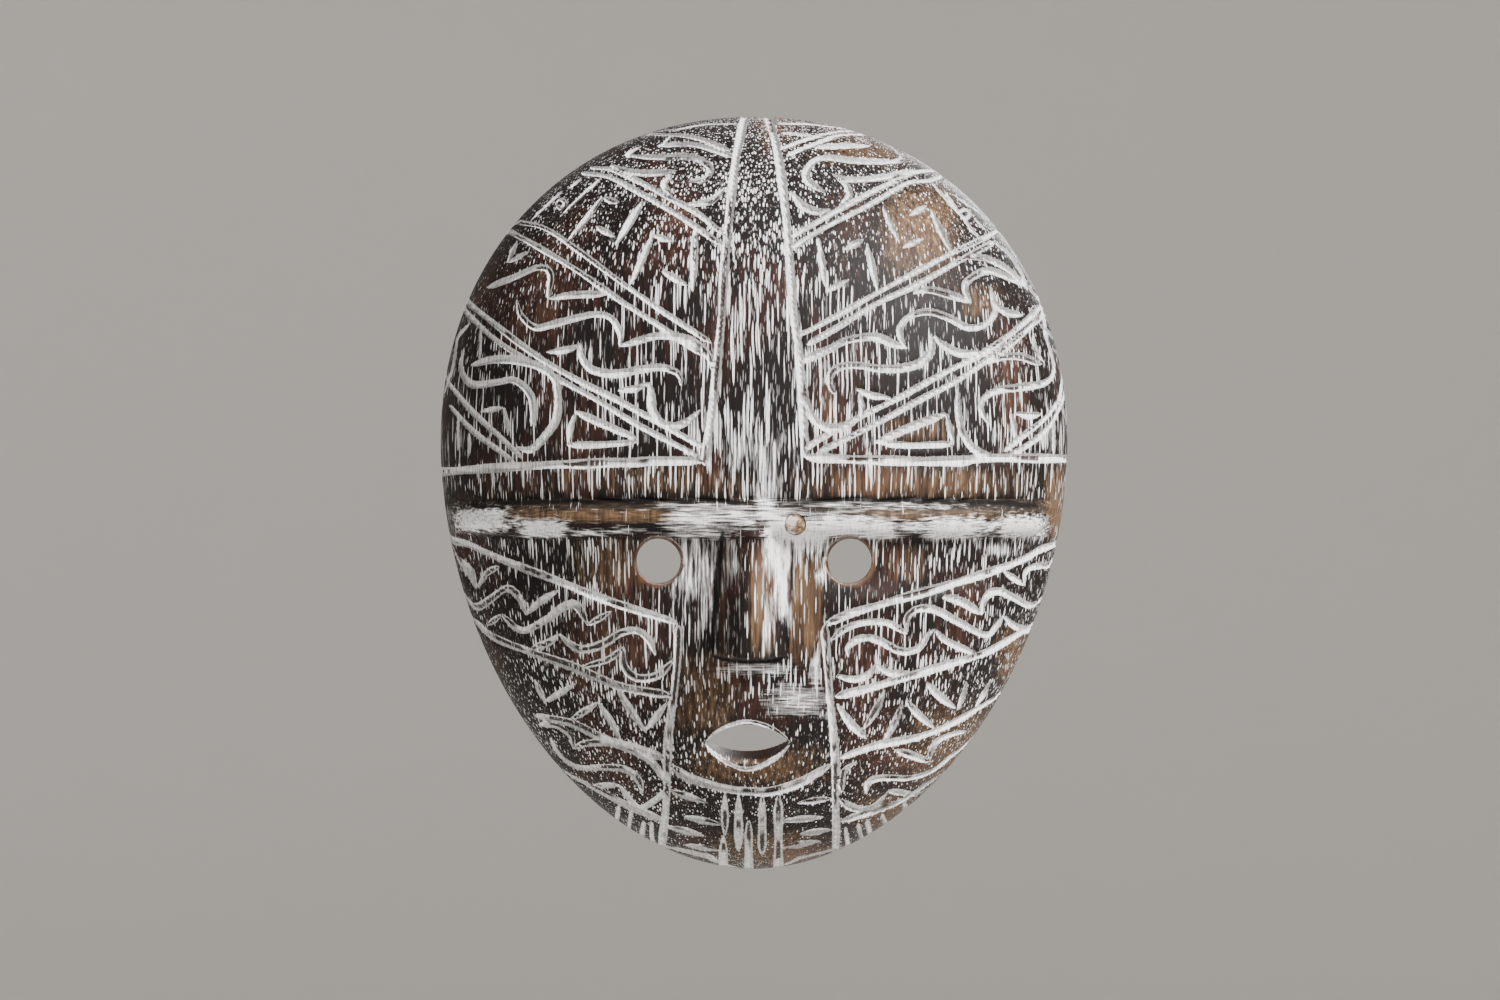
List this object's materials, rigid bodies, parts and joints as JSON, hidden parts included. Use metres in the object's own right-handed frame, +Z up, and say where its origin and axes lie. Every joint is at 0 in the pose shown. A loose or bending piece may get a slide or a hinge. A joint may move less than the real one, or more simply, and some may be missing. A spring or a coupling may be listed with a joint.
{
  "type": "carved wooden mask",
  "caption": "Hollow carved wooden wall mask with drilled eyes, bar brow, wedge nose, almond mouth and gouged line ornament, hung by a swinging D-ring let into its back.",
  "frame": {"origin": "the point in the wall plane that the wall hook stands at: the inside of the hanger's ring when it is turned up, on the mask's centre plane, 15 mm below the crown", "axes": "+Z up, the mask's long way; +Y out of its flat back, into the wall; -Y the way the carved face looks; +X to the right as a viewer faces it"},
  "size_m": [0.25, 0.0924, 0.3],
  "materials": {
    "mask_wood": "dark stained coarse-grained wood, white limewash left in its pores and carved grooves, rubbed back to brown on the high places",
    "plug_wood": "end grain of a light brown dowel, cut flush and rubbed",
    "hanger_steel": "dull zinc plating",
    "screw_steel": "brass-coloured plating, slightly dulled"
  },
  "bodies": {
    "mask": {"mask_shell": "mask_wood", "brow_plug": "plug_wood", "hanger_plate": "hanger_steel", "hanger_screw_left": "screw_steel", "hanger_screw_right": "screw_steel"},
    "ring": {"hanger_ring": "hanger_steel"}
  },
  "joints": [
    {"name": "ring_swing", "type": "hinge", "parent": "mask", "child": "ring", "pos_m": [0, -0.0036, -0.0101], "axis": [1, 0, 0], "range_deg": [0, 180]}
  ]
}
